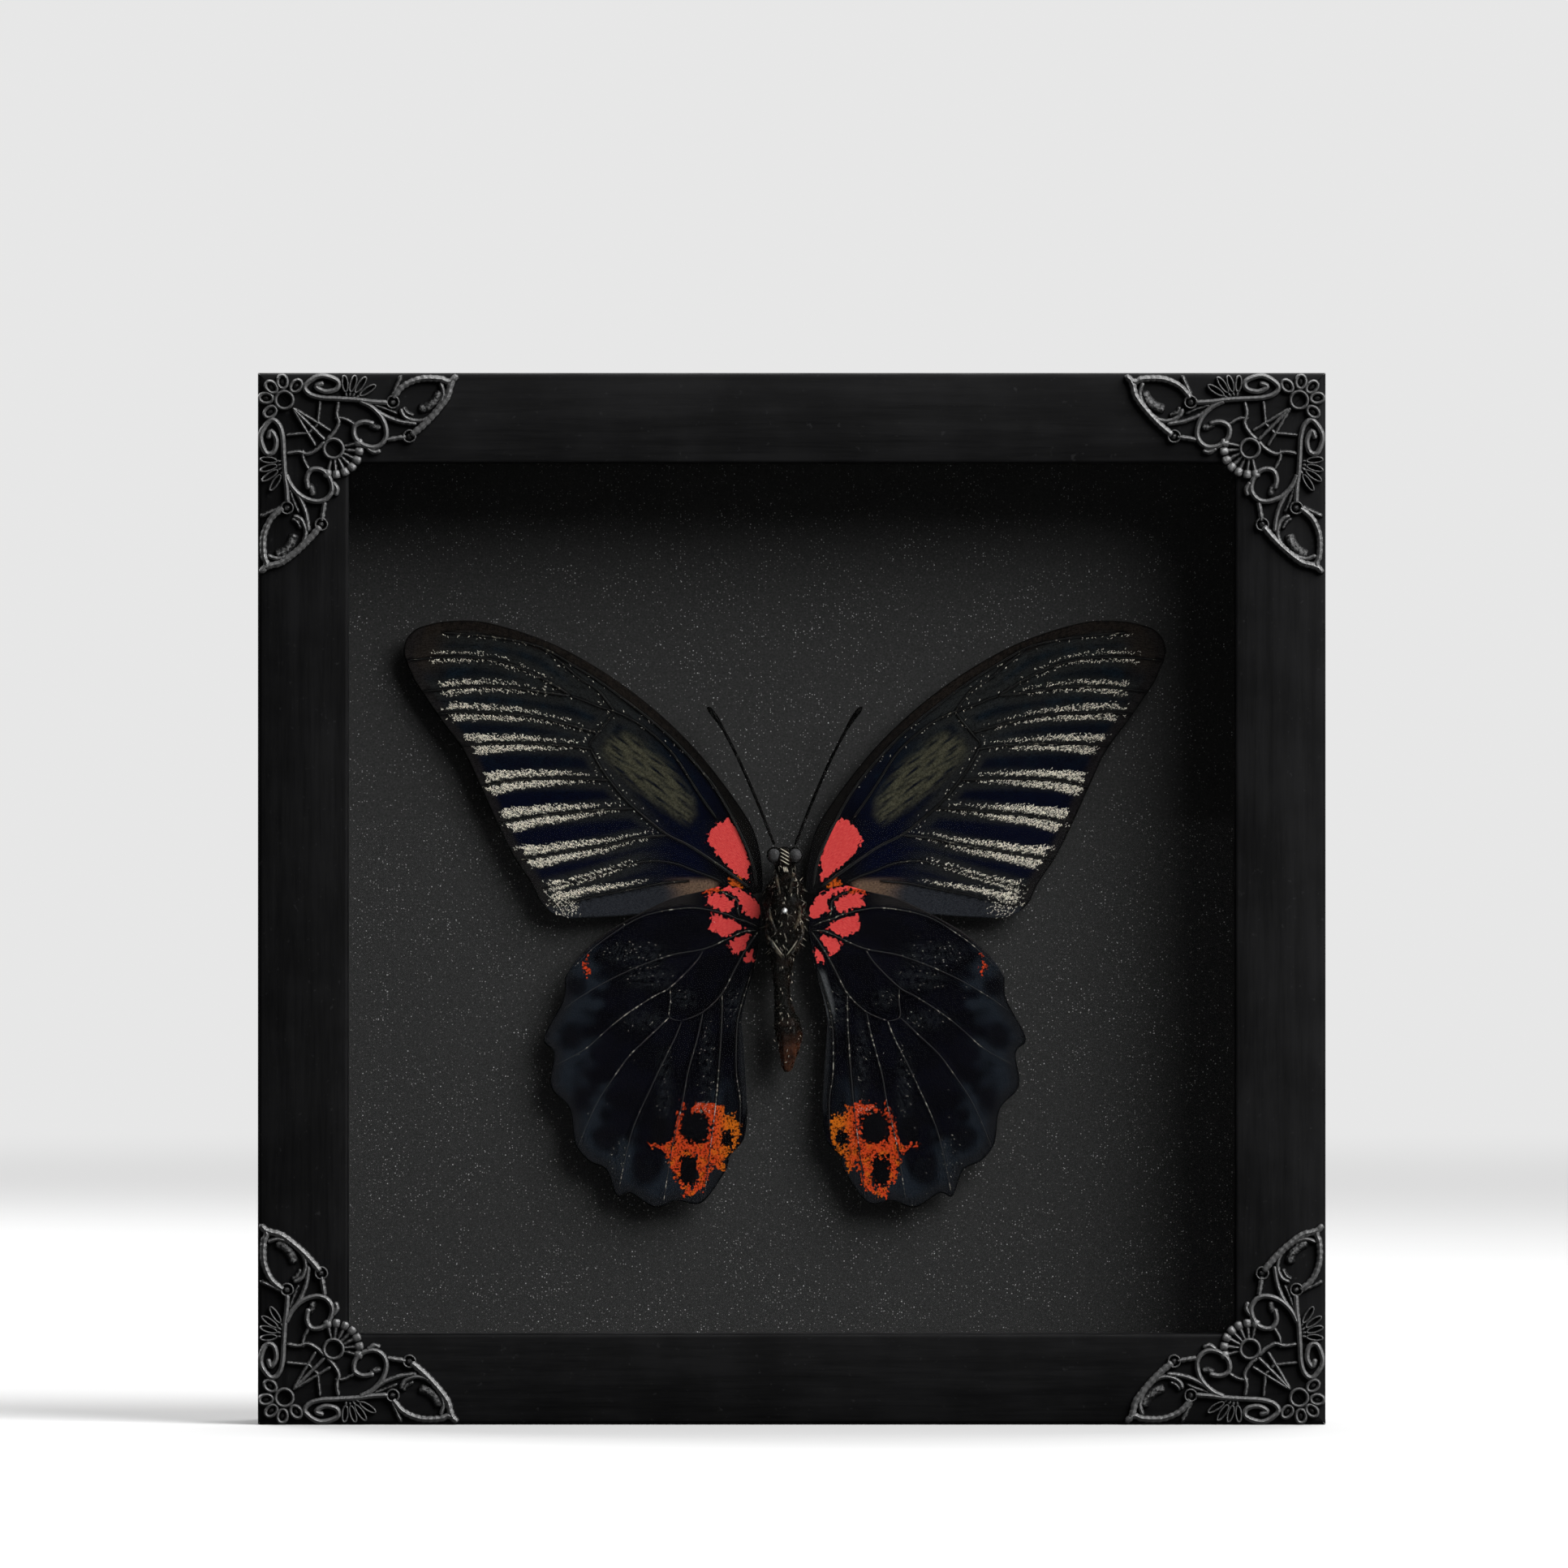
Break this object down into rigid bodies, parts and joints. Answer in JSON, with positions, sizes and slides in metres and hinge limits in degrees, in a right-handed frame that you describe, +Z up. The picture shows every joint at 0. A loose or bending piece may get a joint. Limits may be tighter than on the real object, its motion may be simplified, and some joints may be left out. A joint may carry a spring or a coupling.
{
  "type": "framed butterfly specimen",
  "caption": "Square black wooden shadow box with openwork silver corners and a dark swallowtail butterfly pinned underside up on a speckled charcoal backing behind glass.",
  "frame": {"origin": "middle of the underside of the bottom rail, halfway through the whole depth", "axes": "+Z up, +X to the viewer's right, +Y from the glass towards the back"},
  "size_m": [0.2, 0.0348, 0.197],
  "materials": {
    "black_wood": "satin black paint over wood grain",
    "glass": "clear low-reflection picture glass",
    "black_card": "matt black spacer strips",
    "charcoal_paper": "charcoal paper with fine pale glitter specks",
    "hardboard": "dark hardboard",
    "steel": "plain steel",
    "antique_silver": "antique silver with dark recesses and worn bright ridges",
    "forewing": "charcoal wing with pale streaks beside the veins and a red base",
    "hindwing": "blue-black wing with red base and orange rings",
    "insect_body": "dark brown dried body with fine hair"
  },
  "bodies": {
    "root": {"rail_bottom": "black_wood", "rail_left": "black_wood", "rail_top": "black_wood", "rail_right": "black_wood", "spacer_bottom": "black_card", "spacer_left": "black_card", "spacer_top": "black_card", "spacer_right": "black_card", "point_bottom_a": "steel", "point_bottom_b": "steel", "point_left_a": "steel", "point_left_b": "steel", "point_top_a": "steel", "point_top_b": "steel", "point_right_a": "steel", "point_right_b": "steel", "sawtooth_hanger": "steel", "hanger_nail_left": "steel", "hanger_nail_right": "steel", "glass_pane": "glass", "backing_board": "charcoal_paper", "back_panel": "hardboard", "filigree_bottom_left": "antique_silver", "filigree_top_left": "antique_silver", "filigree_top_right": "antique_silver", "filigree_bottom_right": "antique_silver", "forewing_left": "forewing", "forewing_right": "forewing", "hindwing_left": "hindwing", "hindwing_right": "hindwing", "body": "insect_body", "antenna_left": "insect_body", "antenna_right": "insect_body", "pin": "steel"}
  },
  "joints": []
}
